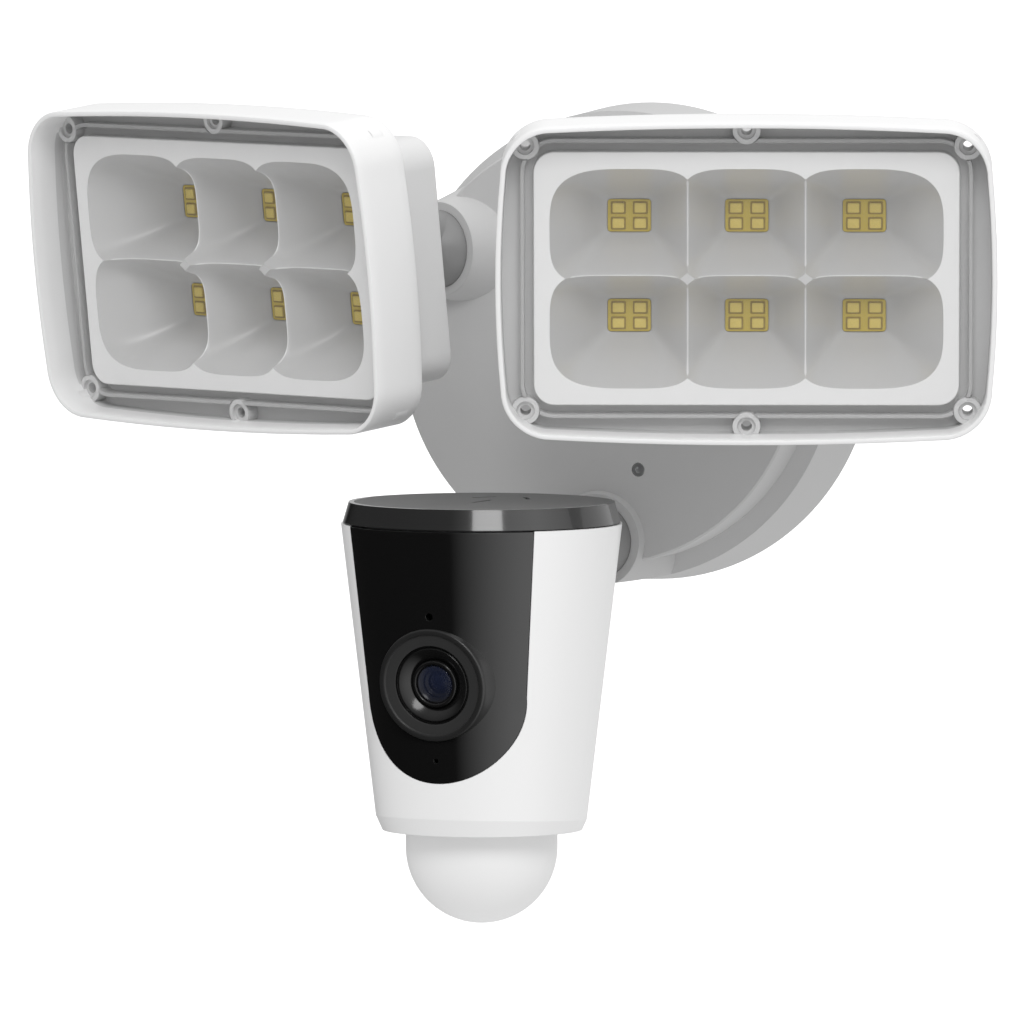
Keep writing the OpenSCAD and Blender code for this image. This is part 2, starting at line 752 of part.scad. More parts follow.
module lamp_bezel() {
    inner = bezel_corner - bezel_wall;
    color("#f1f1f1") difference() {
        union() {
            difference() {
                translate([0, 0, -bezel_back]) linear_extrude(bezel_back + bezel_front)
                    polygon(crowned(bezel_w, bezel_h, bezel_corner, bezel_crown));
                translate([0, 0, channel_w]) linear_extrude(lamp_depth)
                    polygon(crowned(bezel_w - 2 * bezel_wall, bezel_h - 2 * bezel_wall, inner,
                                    bezel_crown));
                slab(flange_w + 2 * fit_gap, flange_h + 2 * fit_gap, housing_corner + 3 + fit_gap,
                     -bezel_back - 1, floor_w);
            }
            intersection() {
                for (p = boss_at) translate([p[0], p[1], channel_w - eps])
                    cylinder(r = boss_r, h = boss_top - channel_w);
                translate([0, 0, floor_w]) linear_extrude(lamp_depth)
                    polygon(crowned(bezel_w - bezel_wall, bezel_h - bezel_wall, bezel_corner,
                                    bezel_crown));
            }
            slab(plate_w, plate_h, plate_corner, channel_w - eps, -cup_wall);
        }
        slab(open_w, open_h, plate_corner, -lamp_depth, bezel_front);
        for (p = boss_at) translate([p[0], p[1], 0]) {
            translate([0, 0, -lamp_depth]) cylinder(r = boss_hole_r, h = 2 * lamp_depth);
            translate([0, 0, boss_top - 1]) cylinder(r = boss_sink_r, h = 2 * window_t);
        }
        for (p = screw_at) translate([p[0], p[1], floor_w - 1])
            cylinder(r = bezel_screw_r, h = channel_w - floor_w + 0.3);
    }
}

// ---- Camera head -----------------------------------------------------------------------

function body_r(drop) = camera_top_r - taper * drop;

// The tapered body, cut to its slanted bottom chamfer
module camera_body() {
    intersection() {
        translate([0, 0, -camera_h])
            cylinder(r1 = camera_bottom_r, r2 = camera_top_r, h = camera_h);
        translate([0, chamfer_shift, -camera_h])
            cylinder(r1 = chamfer_r, r2 = chamfer_r + chamfer_slope * camera_h, h = camera_h);
    }
}

// The face plate's outline, seen from the front and cut through the front wall
module face_prism(grow) {
    s = sin(face_half_angle);
    low = face_drop - body_r(face_drop) * s * 0.985;
    r = body_r(low) * s + grow;
    rotate([90, 0, 0]) linear_extrude(camera_top_r + 5) {
        polygon([[-body_r(0) * s - grow, grow], [-r, -low], [r, -low], [body_r(0) * s + grow, grow]]);
        translate([0, -low]) circle(r);
    }
}

module camera_housing() {
    color("#f0f0f0") difference() {
        camera_body();
        translate([0, 0, -camera_h + bottom_t])
            cylinder(r1 = bottom_r, r2 = camera_top_r - camera_wall, h = camera_h - bottom_t + eps);
        translate([0, 0, -camera_h - eps]) cylinder(r = bottom_r, h = bottom_t + 1);
        difference() {
            face_prism(0);
            translate([0, 0, -camera_h])
                cylinder(r1 = camera_bottom_r - face_t - 0.1, r2 = camera_top_r - face_t - 0.1,
                         h = camera_h + 1);
        }
        face_prism(-3);
        translate([0, 0, -camera_hinge_drop]) rotate([-90, 0, 0]) {
            cylinder(r = camera_cable_r, h = 2 * camera_top_r);
            for (x = [-1, 1]) translate([x * camera_screw_at, 0, 0])
                cylinder(r = camera_screw_r, h = 2 * camera_top_r);
        }
    }
}

module camera_face_plate() {
    color("#101012") difference() {
        intersection() {
            face_prism(-0.15);
            difference() {
                translate([0, 0, -camera_h])
                    cylinder(r1 = camera_bottom_r, r2 = camera_top_r, h = camera_h);
                translate([0, 0, -camera_h])
                    cylinder(r1 = camera_bottom_r - face_t, r2 = camera_top_r - face_t,
                             h = camera_h + 1);
            }
            translate([-camera_top_r, -2 * camera_top_r, -camera_h])
                cube([2 * camera_top_r, 2 * camera_top_r, camera_h - fit_gap]);
        }
        at_lens() translate([0, 0, -lens_ring_r])
            cylinder(r = lens_ring_r - lens_seat, h = 2 * lens_ring_r);
        for (hole = face_holes) translate([0, 0, -lens_drop + hole[0]])
            rotate([90, 0, 0]) cylinder(r = hole[1], h = 2 * camera_top_r);
    }
}

module at_lens() {
    translate([0, -body_r(lens_drop), -lens_drop]) rotate([90 + lens_tilt, 0, 0]) children();
}

module camera_lens_ring() {
    r = lens_ring_r;
    color("#1a1a1c") at_lens() difference() {
        rotate_extrude() polygon([[0, -6], [r + lens_flare, -6], [r + lens_flare, -4.6],
                                  [r, -0.8], [r, lens_ring_proud - 0.4],
                                  [r - 0.4, lens_ring_proud], [0, lens_ring_proud]]);
        difference() {
            rotate([-90 - lens_tilt, 0, 0])
                translate([0, body_r(lens_drop), lens_drop - camera_h])
                    cylinder(r1 = camera_bottom_r, r2 = camera_top_r, h = camera_h);
            translate([0, 0, -camera_top_r])
                cylinder(r = r - lens_seat - 0.15, h = 2 * camera_top_r);
        }
        rotate_extrude() polygon([[0, -9], [barrel_r + 0.1, -9], [barrel_r + 0.1, -2.6],
                                  [funnel_r - 0.6, -0.4], [funnel_r, lens_ring_proud - 0.9],
                                  [funnel_r, 3], [0, 3]]);
        rotate_extrude() polygon([[funnel_r - 1, lens_ring_proud - 0.5],
                                  [lens_face_r, lens_ring_proud - 0.5],
                                  [lens_face_r + 0.6, 3], [funnel_r - 1, 3]]);
    }
}

module camera_lens_barrel() {
    color("#0d0d0f") at_lens() difference() {
        rotate_extrude() polygon([[0, -22], [barrel_r, -22], [barrel_r, -1.6],
                                  [barrel_r - 0.6, -1.2], [0, -1.2]]);
        translate([0, 0, -lens_glass_back]) cylinder(r = lens_glass_r + run_clear, h = 10);
        translate([0, 0, -18]) cylinder(r = lens_glass_r / 2, h = 20);
    }
}

module camera_lens_glass() {
    color("#30364a") at_lens() intersection() {
        translate([0, 0, -lens_glass_back]) cylinder(r = lens_glass_r, h = 10);
        translate([0, 0, -lens_glass_bulge - 1]) sphere(r = lens_glass_bulge);
    }
}

module camera_cap_trim() {
    color("#131315") rotate([0, 0, -90 - trim_half_angle])
        rotate_extrude(angle = 2 * trim_half_angle)
            polygon([[cap_foot_r - trim_t, cap_gap], [cap_foot_r, cap_gap], [cap_top_r, cap_h],
                     [cap_top_r - trim_t, cap_h]]);
}

module camera_top_cap() {
    color("#6a6a6d") difference() {
        union() {
            rotate_extrude() polygon([[0, cap_gap], [cap_foot_r, cap_gap], [cap_top_r, cap_h],
                                      [0, cap_h]]);
            translate([0, 0, -cap_spigot])
                cylinder(r = camera_top_r - camera_wall - cap_spigot * taper - fit_gap,
                         h = cap_spigot + 1);
        }
        rotate([0, 0, -90 - trim_half_angle]) rotate_extrude(angle = 2 * trim_half_angle)
            polygon([[cap_foot_r - trim_t, 0], [cap_foot_r + 1, 0], [cap_top_r + 1, cap_h + 1],
                     [cap_top_r - trim_t, cap_h + 1], [cap_top_r - trim_t, cap_h]]);
        translate([0, 0, -cap_spigot - eps])
            cylinder(r = camera_top_r - 7, h = cap_spigot + cap_h - 2.4);
        translate([0, 0, cap_h]) cube([slot_t, 14, 2 * slot_sink], center = true);
        for (s = [-1, 1]) translate([s * 7, 18, cap_h]) rotate([0, 0, s * 32])
            cube([slot_t, 8.5, 2 * slot_sink], center = true);
    }
}

module camera_bottom_plate() {
    color("#e9e9ea") translate([0, 0, -camera_h]) difference() {
        cylinder(r = bottom_r - fit_gap, h = bottom_t);
        translate([0, 0, -eps]) cylinder(r = dome_r + stack_gap, h = bottom_t + 2 * eps);
    }
}

module camera_dome() {
    color("#f4f4f4") translate([0, 0, -camera_h]) difference() {
        union() {
            translate([0, 0, -dome_neck + 1]) cylinder(r = dome_r, h = dome_neck + 2);
            translate([0, 0, -dome_neck + 1]) intersection() {
                sphere(r = dome_r);
                translate([0, 0, -dome_r - 1]) cylinder(r = dome_r + 1, h = dome_r + 1 + eps);
            }
            translate([0, 0, bottom_t]) cylinder(r = dome_r + dome_flange[0], h = dome_flange[1]);
        }
        translate([0, 0, -dome_neck + 1]) {
            sphere(r = dome_r - dome_wall);
            cylinder(r = dome_r - dome_wall, h = 20);
        }
    }
}

module camera_motion_sensors() {
    color("#9fa2a6") translate([0, 0, -camera_h + bottom_t + dome_flange[1]]) {
        cylinder(r = dome_r - 1, h = sensor_board_t);
        for (a = [0, 120, 240]) rotate(a - 90) translate([sensor_at, 0, -sensor_h])
            cylinder(r = sensor_r, h = sensor_h + eps);
    }
}

module camera_bracket() {
    foot_back = camera_reach - rear_r - 0.4 - camera_foot[2];
    color("#6d6d70") {
        difference() {
            union() {
                tongue(foot_back + camera_foot[2] + 4);
                translate([0, 0, tongue_root])
                    linear_extrude(foot_back + camera_foot[2] + 4 - tongue_root)
                        rounded_rect(camera_stalk_w, 2 * tongue_r, stalk_corner);
                slab(camera_foot[0], camera_foot[1], foot_corner, foot_back - 1,
                     foot_back + camera_foot[2] + 5);
            }
            camera_in_hinge_frame() translate([0, 0, -camera_h])
                cylinder(r1 = camera_bottom_r + 0.05, r2 = camera_top_r + 0.05, h = camera_h);
            camera_in_hinge_frame() translate([0, 0, -camera_hinge_drop]) rotate([-90, 0, 0])
                for (x = [-1, 1]) translate([x * camera_screw_at, 0, 0])
                    cylinder(r = camera_screw_r, h = 2 * camera_top_r);
        }
    }
}

// The camera's own frame, seen from the hinge's frame with z along the arm and y up
module camera_in_hinge_frame() {
    rotate([-90, 0, 0]) translate([0, -camera_reach, camera_hinge_drop]) children();
}

module at_camera_hinge() {
    translate([0, -(camera_socket_depth + hinge_out), -(socket_circle + hinge_rise)])
        rotate([90, 0, 0]) children();
}

module camera_bracket_screws() {
    color("#b4b5b9") translate([0, 0, -camera_hinge_drop]) rotate([-90, 0, 0])
        for (x = [-1, 1]) translate([x * camera_screw_at, 0, camera_screw_seat])
            screw(camera_screw_r, camera_screw_head, rear_r + camera_foot[2] - camera_screw_seat);
}

module camera_main_board() {
    color("#1f6b3c") translate([-main_board[0] / 2, -10, -main_board_drop - main_board[2]])
        cube(main_board);
}

module camera_speaker() {
    color("#3c3c3f") translate([0, 4, -speaker_drop]) {
        cylinder(r = 16, h = 4);
        translate([0, 0, -6]) cylinder(r = 9, h = 6);
    }
}

// ---- Nodes -----------------------------------------------------------------------------

wall_bracket();
wall_gasket();
base_shell();
back_cover();
back_cover_seal();
back_cover_screws();
lock_screws();
cable_grommet();
power_board();
transformer();
capacitors();
terminal_block();
arm_seals();
at_arm(LEFT) arm();  // lamp_left_arm
at_arm(LEFT) arm_nut();  // lamp_left_arm_nut
at_arm(LEFT) hinge_bolt();  // lamp_left_hinge_bolt
at_arm(RIGHT) arm();  // lamp_right_arm
at_arm(RIGHT) arm_nut();  // lamp_right_arm_nut
at_arm(RIGHT) hinge_bolt();  // lamp_right_hinge_bolt
at_arm(CAMERA) arm();  // camera_arm
at_arm(CAMERA) arm_nut();  // camera_arm_nut
at_arm(CAMERA) hinge_bolt();  // camera_hinge_bolt
at_lamp(LEFT) lamp_bracket();  // lamp_left_bracket
at_lamp(LEFT) lamp_screws();  // lamp_left_screws
at_lamp(LEFT) lamp_housing();  // lamp_left_housing
at_lamp(LEFT) lamp_heat_sink();  // lamp_left_heat_sink
at_lamp(LEFT) lamp_led_board();  // lamp_left_led_board
at_lamp(LEFT) lamp_led_plates();  // lamp_left_led_plates
at_lamp(LEFT) lamp_led_chips();  // lamp_left_led_chips
at_lamp(LEFT) lamp_reflector();  // lamp_left_reflector
at_lamp(LEFT) lamp_seal();  // lamp_left_seal
at_lamp(LEFT) lamp_window();  // lamp_left_window
at_lamp(LEFT) lamp_bezel();  // lamp_left_bezel
at_lamp(RIGHT) lamp_bracket();  // lamp_right_bracket
at_lamp(RIGHT) lamp_screws();  // lamp_right_screws
at_lamp(RIGHT) lamp_housing();  // lamp_right_housing
at_lamp(RIGHT) lamp_heat_sink();  // lamp_right_heat_sink
at_lamp(RIGHT) lamp_led_board();  // lamp_right_led_board
at_lamp(RIGHT) lamp_led_plates();  // lamp_right_led_plates
at_lamp(RIGHT) lamp_led_chips();  // lamp_right_led_chips
at_lamp(RIGHT) lamp_reflector();  // lamp_right_reflector
at_lamp(RIGHT) lamp_seal();  // lamp_right_seal
at_lamp(RIGHT) lamp_window();  // lamp_right_window
at_lamp(RIGHT) lamp_bezel();  // lamp_right_bezel
at_camera_hinge() camera_bracket();
at_camera() camera_bracket_screws();
at_camera() camera_housing();
at_camera() camera_face_plate();
at_camera() camera_top_cap();
at_camera() camera_cap_trim();
at_camera() camera_bottom_plate();
at_camera() camera_dome();
at_camera() camera_motion_sensors();
at_camera() camera_lens_ring();
at_camera() camera_lens_barrel();
at_camera() camera_lens_glass();
at_camera() camera_main_board();
at_camera() camera_speaker();
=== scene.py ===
import json
from math import atan2, cos, hypot, pi, radians, sin

import bmesh
import bpy
from mathutils import Matrix, Vector


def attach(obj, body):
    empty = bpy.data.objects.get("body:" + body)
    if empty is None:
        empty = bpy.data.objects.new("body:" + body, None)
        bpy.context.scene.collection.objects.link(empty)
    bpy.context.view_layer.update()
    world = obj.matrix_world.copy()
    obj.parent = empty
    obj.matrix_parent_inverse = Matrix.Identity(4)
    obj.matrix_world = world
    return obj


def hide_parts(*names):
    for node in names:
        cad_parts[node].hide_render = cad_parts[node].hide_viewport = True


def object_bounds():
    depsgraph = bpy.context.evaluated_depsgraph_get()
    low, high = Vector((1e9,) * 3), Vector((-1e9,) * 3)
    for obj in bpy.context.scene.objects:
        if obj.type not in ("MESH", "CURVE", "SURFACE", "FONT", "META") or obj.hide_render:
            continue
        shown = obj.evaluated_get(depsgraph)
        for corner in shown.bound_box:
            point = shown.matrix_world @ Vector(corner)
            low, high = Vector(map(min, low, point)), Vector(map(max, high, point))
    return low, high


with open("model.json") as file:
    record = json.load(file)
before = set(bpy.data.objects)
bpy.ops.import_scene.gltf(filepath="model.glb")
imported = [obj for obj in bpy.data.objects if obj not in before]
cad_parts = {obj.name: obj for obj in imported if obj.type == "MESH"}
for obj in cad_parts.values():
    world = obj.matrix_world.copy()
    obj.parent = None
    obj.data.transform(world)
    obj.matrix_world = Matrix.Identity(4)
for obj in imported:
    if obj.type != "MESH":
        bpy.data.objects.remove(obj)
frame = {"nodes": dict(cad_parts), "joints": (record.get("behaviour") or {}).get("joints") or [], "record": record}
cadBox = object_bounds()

mm = 0.001
nodes = frame["nodes"]
joints = {joint["name"]: joint for joint in frame["joints"]}


class Wire:
    # a node socket; maths on it adds Math nodes
    def __init__(self, tree, socket=None):
        self.tree = tree
        self.socket = socket

    def make(self, kind, settings=None, inputs=None, out=0):
        node = self.tree.nodes.new(kind)
        for name, value in (settings or {}).items():
            setattr(node, name, value)
        for name, value in (inputs or {}).items():
            if isinstance(value, Wire):
                self.tree.links.new(value.socket, node.inputs[name])
            else:
                node.inputs[name].default_value = value
        return Wire(self.tree, node.outputs[out] if node.outputs else None)

    def maths(self, operation, first, second, clamp=False):
        return self.make("ShaderNodeMath", {"operation": operation, "use_clamp": clamp},
                         {0: first, 1: second})

    def __add__(self, other):
        return self.maths("ADD", self, other)

    def __radd__(self, other):
        return self.maths("ADD", other, self)

    def __sub__(self, other):
        return self.maths("SUBTRACT", self, other)

    def __rsub__(self, other):
        return self.maths("SUBTRACT", other, self)

    def __mul__(self, other):
        return self.maths("MULTIPLY", self, other)

    def __rmul__(self, other):
        return self.maths("MULTIPLY", other, self)

    def clamped(self):
        return self.maths("ADD", self, 0.0, clamp=True)

    def blend(self, share, first, second):
        return self.make("ShaderNodeMix", {"data_type": "RGBA"},
                         {0: share, 6: first, 7: second}, out=2)


# Materials. The numbers that all moulded surfaces share:
surface = {
    "cloudScale": 35.0, "cloudDetail": 4.0, "cloudRough": 0.6, "cloudShare": 0.7,
    "fineDetail": 2.0, "bumpDepth": 0.2, "bevelSamples": 3, "paneCloud": 60.0,
}


def tone(value, warm=0.0):
    # a grey, a little warmer or cooler than neutral
    return (value * (1 + warm), value, value * (1 - warm), 1)


def moulded(name, shade, rough, grain=900, relief=0.04, mottle=0.05, edge=0.35, fixed=None,
            smudge=0.08):
    # plastic, paint or rubber: fine grain, faint cloudiness, uneven gloss and softened edges
    paint = bpy.data.materials.new(name)
    paint.use_nodes = True
    tree = paint.node_tree
    tree.nodes.clear()
    start = Wire(tree)
    place = start.make("ShaderNodeTexCoord", out=3)
    cloud = start.make("ShaderNodeTexNoise", None,
                       {"Vector": place, "Scale": surface["cloudScale"],
                        "Detail": surface["cloudDetail"], "Roughness": surface["cloudRough"]})
    fine = start.make("ShaderNodeTexNoise", None,
                      {"Vector": place, "Scale": float(grain), "Detail": surface["fineDetail"]})
    darker = tuple(channel * (1 - mottle) for channel in shade[:3]) + (1,)
    lighter = tuple(min(1, channel * (1 + mottle)) for channel in shade[:3]) + (1,)
    colour = start.blend(cloud * surface["cloudShare"]
                         + fine * (1 - surface["cloudShare"]), darker, lighter)
    softened = start.make("ShaderNodeBevel", {"samples": surface["bevelSamples"]},
                          {"Radius": edge * mm})
    bump = start.make("ShaderNodeBump", None, {"Strength": relief, "Height": fine,
                                               "Distance": surface["bumpDepth"] * mm,
                                               "Normal": softened})
    inputs = {"Base Color": colour, "Roughness": rough + smudge * (cloud - 0.5), "Normal": bump}
    inputs.update(fixed or {})
    shader = start.make("ShaderNodeBsdfPrincipled", None, inputs)
    start.make("ShaderNodeOutputMaterial", None, {"Surface": shader})
    return paint


def clearPane(name, alpha, shade, rough):
    # thin clear plastic that shows mostly by its gloss, with faint cloudiness
    paint = bpy.data.materials.new(name)
    paint.use_nodes = True
    tree = paint.node_tree
    tree.nodes.clear()
    start = Wire(tree)
    place = start.make("ShaderNodeTexCoord", out=3)
    cloud = start.make("ShaderNodeTexNoise", None,
                       {"Vector": place, "Scale": surface["paneCloud"]})
    shader = start.make("ShaderNodeBsdfPrincipled", None,
                        {"Base Color": shade, "Roughness": rough + 0.04 * cloud,
                         "Alpha": alpha * (0.9 + 0.2 * cloud), "IOR": 1.45})
    start.make("ShaderNodeOutputMaterial", None, {"Surface": shader})
    return paint


paints = {
    "zincSteel": moulded("zincSteel", tone(0.58, -0.01), 0.32, 500, 0.05, 0.1,
                         fixed={"Metallic": 1.0}),
    "blackRubber": moulded("blackRubber", tone(0.025), 0.7, 1400, 0.15),
    "baseGrey": moulded("baseGrey", tone(0.50), 0.5, 1800, 0.05, 0.03),
    "coverGrey": moulded("coverGrey", tone(0.16), 0.6, 1200, 0.08),
    "boardGreen": moulded("boardGreen", (0.01, 0.12, 0.04, 1), 0.35, 300, 0.1, 0.2),
    "coilBrown": moulded("coilBrown", (0.30, 0.13, 0.03, 1), 0.4, 400, 0.3, 0.2),
    "canBlue": moulded("canBlue", (0.01, 0.03, 0.12, 1), 0.3),
    "terminalGreen": moulded("terminalGreen", (0.01, 0.16, 0.05, 1), 0.45),
    "armGrey": moulded("armGrey", tone(0.22), 0.45, 1500, 0.08),
    "lampWhite": moulded("lampWhite", tone(0.80), 0.38, 1600, 0.03, 0.015),
    "lampBody": moulded("lampBody", tone(0.66), 0.45, 1600, 0.05, 0.02),
    # painted shade: a darker grey for the bezel's recessed tray
    "trayPaintedShade": moulded("trayPaintedShade", tone(0.60), 0.5, 1600, 0.05, 0.03),
    "bareAluminium": moulded("bareAluminium", tone(0.6), 0.4, 700, 0.1,
                             fixed={"Metallic": 1.0}),
    "boardWhite": moulded("boardWhite", tone(0.6, 0.02), 0.4),
    "ledAmber": moulded("ledAmber", (0.66, 0.50, 0.07, 1), 0.5, 1500, 0.08, 0.06),
    "ledPhosphor": moulded("ledPhosphor", (0.82, 0.64, 0.15, 1), 0.42, 1500, 0.08, 0.05),
    # painted shadow: the colour of the dark rims round the LED packages
    "ledPaintedShadow": moulded("ledPaintedShadow", (0.36, 0.25, 0.04, 1), 0.6),
    "reflectorFace": moulded("reflectorFace", tone(0.78), 0.33, 1500, 0.02, 0.01, edge=0.2),
    # painted shade: a darker copy of the reflector's paint for the recessed cups
    "reflectorCupPaintedShade": moulded("reflectorCupPaintedShade", tone(0.55), 0.3, 1500, 0.02, 0.02, edge=0.2),
    "sealGrey": moulded("sealGrey", tone(0.42), 0.5, 1200, 0.06),
    "clearWindow": clearPane("clearWindow", 0.05, tone(0.9), 0.08),
    "cameraWhite": moulded("cameraWhite", tone(0.85), 0.3, 1800, 0.02, 0.01),
    "glossBlack": moulded("glossBlack", tone(0.006), 0.13, 900, 0.01, 0.1, smudge=0.03,
                          fixed={"Coat Weight": 0.5, "Coat Roughness": 0.04}),
    "capGrey": moulded("capGrey", tone(0.12), 0.55, 1800, 0.1, 0.05),
    "domeWhite": moulded("domeWhite", tone(0.86), 0.55, 1800, 0.03, 0.01),
    "sensorMetal": moulded("sensorMetal", tone(0.4), 0.4),
    "lensMatte": moulded("lensMatte", tone(0.022), 0.5, 1500, 0.08),
    "lensGloss": moulded("lensGloss", tone(0.007), 0.16, 900, 0.01, 0.1, smudge=0.03),
    "lensRim": moulded("lensRim", tone(0.016), 0.28, 900, 0.02, 0.1, smudge=0.04),
    "lensGlass": clearPane("lensGlass", 0.35, (0.03, 0.04, 0.09, 1), 0.02),
    "speakerBlack": moulded("speakerBlack", tone(0.03), 0.6),
}
print("materials made")

slotPaints = {
    "zinc_steel": "zincSteel", "black_rubber": "blackRubber", "base_grey": "baseGrey",
    "cover_grey": "coverGrey", "board_green": "boardGreen", "coil_brown": "coilBrown",
    "can_blue": "canBlue", "terminal_green": "terminalGreen", "arm_grey": "armGrey",
    "lamp_white": "lampWhite", "lamp_body": "lampBody", "bare_aluminium": "bareAluminium",
    "board_white": "boardWhite", "led_amber": "ledAmber", "led_phosphor": "ledPhosphor",
    "reflector_silver": "reflectorFace", "seal_grey": "sealGrey", "clear_window": "clearWindow",
    "camera_white": "cameraWhite", "gloss_black": "glossBlack", "cap_grey": "capGrey",
    "dome_white": "domeWhite", "sensor_metal": "sensorMetal", "lens_black": "lensGloss",
    "lens_glass": "lensGlass", "speaker_black": "speakerBlack",
}
for part in frame["record"]["subparts"]:
    mesh = nodes[part["node"]].data
    mesh.materials.clear()
    mesh.materials.append(paints[slotPaints[part["material_slot"]]])
print("CAD nodes painted")


# Mesh helpers.
def finished(name, bm, place, body, paintNames, replaced, smoothAngle=32):
    # puts a piece that was modelled in millimetres in its place, paints it and makes it ride
    mesh = bpy.data.meshes.new(name)
    bmesh.ops.transform(bm, matrix=place @ Matrix.Scale(mm, 4), verts=bm.verts)
    bm.to_mesh(mesh)
    bm.free()
    mesh.shade_smooth()
    mesh.set_sharp_from_angle(angle=radians(smoothAngle))
    piece = bpy.data.objects.new(name, mesh)
    bpy.context.scene.collection.objects.link(piece)
    for paintName in paintNames:
        mesh.materials.append(paints[paintName])
    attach(piece, body)
    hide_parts(*replaced)
    return piece


def edgesOf(verts):
    return list(dict.fromkeys(edge for vert in verts for edge in vert.link_edges))


def loft(bm, loops, closed=False):
    # circles are bridged while they are stacked, so that none twists; then the points are placed
    stack = [bmesh.ops.create_circle(bm, segments=len(loops[0]), radius=1,
                                     matrix=Matrix.Translation((0, 0, floor)))["verts"]
             for floor in range(len(loops))]
    rings = [edgesOf(verts) for verts in stack]
    pairs = list(zip(rings, rings[1:])) + ([(rings[-1], rings[0])] if closed else [])
    made = []
    for first, second in pairs:
        made += bmesh.ops.bridge_loops(bm, edges=first + second)["faces"]
    for verts, points in zip(stack, loops):
        for vert, point in zip(verts, points):
            vert.co = point
    return made


def level(points, height):
    return [(x, y, height) for x, y in points]


def roundedRect(width, height, corner, crown=0, cornerSteps=12, sideSteps=10):
    # points round a rectangle with round corners, whose sides bow outwards by crown
    points = []
    for quarter in range(4):
        signX = 1 if quarter in (0, 3) else -1
        signY = 1 if quarter < 2 else -1
        reachX, reachY = width / 2 - crown - corner, height / 2 - crown - corner
        for step in range(cornerSteps + 1):
            angle = pi / 2 * (quarter + step / cornerSteps)
            points.append((signX * reachX + corner * cos(angle),
                           signY * reachY + corner * sin(angle)))
        for step in range(1, sideSteps):
            along = 1 - 2 * step / sideSteps
            out = crown * (1 - along * along)
            if quarter % 2 == 0:
                points.append((signY * along * reachX, signY * (height / 2 - crown + out)))
            else:
                points.append((-signY * (width / 2 - crown + out), signY * along * reachY))
    return points


def turned(bm, outline, steps=96):
    # a profile of radius and height, spun round the Z axis
    verts = [bm.verts.new((radius, 0, height)) for radius, height in outline]
    edges = [bm.edges.new(pair) for pair in zip(verts, verts[1:])]
    bmesh.ops.spin(bm, geom=verts + edges, cent=(0, 0, 0), axis=(0, 0, 1), angle=2 * pi,
                   steps=steps, use_merge=True)
    bmesh.ops.remove_doubles(bm, verts=bm.verts, dist=0.0005)


def block(bm, size, centre, corner=0, edge=0):
    # a box with rounded upright corners and softened top edges
    made = bmesh.ops.create_cube(bm, size=1)["verts"]
    bmesh.ops.scale(bm, vec=size, verts=made)
    bmesh.ops.translate(bm, vec=centre, verts=made)
    if corner:
        upright = [e for e in edgesOf(made)
                   if abs(e.verts[0].co.z - e.verts[1].co.z) > size[2] / 2]
        bmesh.ops.bevel(bm, geom=upright, offset=corner, segments=4, profile=0.5,
                        affect="EDGES", material=-1)
    if edge:
        near = 1e-4
        top = centre[2] + size[2] / 2
        inReach = [v for v in bm.verts
                   if all(abs(v.co[k] - centre[k]) <= size[k] / 2 + near for k in range(3))]
        rim = [e for e in edgesOf(inReach)
               if all(abs(end.co.z - top) < near for end in e.verts)]
        bmesh.ops.bevel(bm, geom=rim, offset=edge, segments=2, profile=0.5,
                        affect="EDGES", material=-1)


# Lamps. Sizes in millimetres, measured in the lamp's own frame.
lampSizes = {
    "pitch": 6.8, "rise": 1.4, "reach": 66.9,         # how a lamp stands on its hinge
    "width": 150, "height": 97.6, "corner": 15, "crown": 1.5,
    "front": 10.1, "back": 9.5, "channel": -4.5, "floor": -7,
    "plateWidth": 127.4, "plateHeight": 76.8, "plateCorner": 6.3, "plateThick": 1.1,
    "plateEdge": 0.25,                                # softening of its front edge
    "cupPitch": 35.3, "rowPitch": 30.4, "ledFace": -24.1,
}


def lampPlace(side):
    # the lamp's own frame: x along its width, y up its face, z out of its face
    tilt = joints[f"lamp_{side}_tilt"]
    across = Vector(tilt["axis"]).normalized()
    up = Vector((0, 0, 1))
    out = across.cross(up)
    pitch = radians(lampSizes["pitch"])
    faceUp = cos(pitch) * up + sin(pitch) * out
    faceOut = cos(pitch) * out - sin(pitch) * up
    origin = (Vector(tilt["pos_m"]) + lampSizes["rise"] * mm * faceUp
              + lampSizes["reach"] * mm * faceOut)
    place = Matrix((across, faceUp, faceOut)).transposed().to_4x4()
    place.translation = origin
    return place


cupSizes = {
    "floor": (6.8, 5.25),               # half sizes of a cup's floor
    "inner": (20.6, 17.3),              # half sizes of its mouth towards the other cups
    "outer": (23.6, 18.1),              # and towards the plate's edge
    "cornerPower": (3.4, 4.0, 3.2),     # roundness with no, one or both sides outer
    "floorPower": 8.0,
    "flare": 0.72,
    "rings": 13, "rays": 144,
    "ridge": 0.5,                       # rounding of the ridges between cups
    "island": 4,                        # reach of the flat diamonds where four cups meet
}


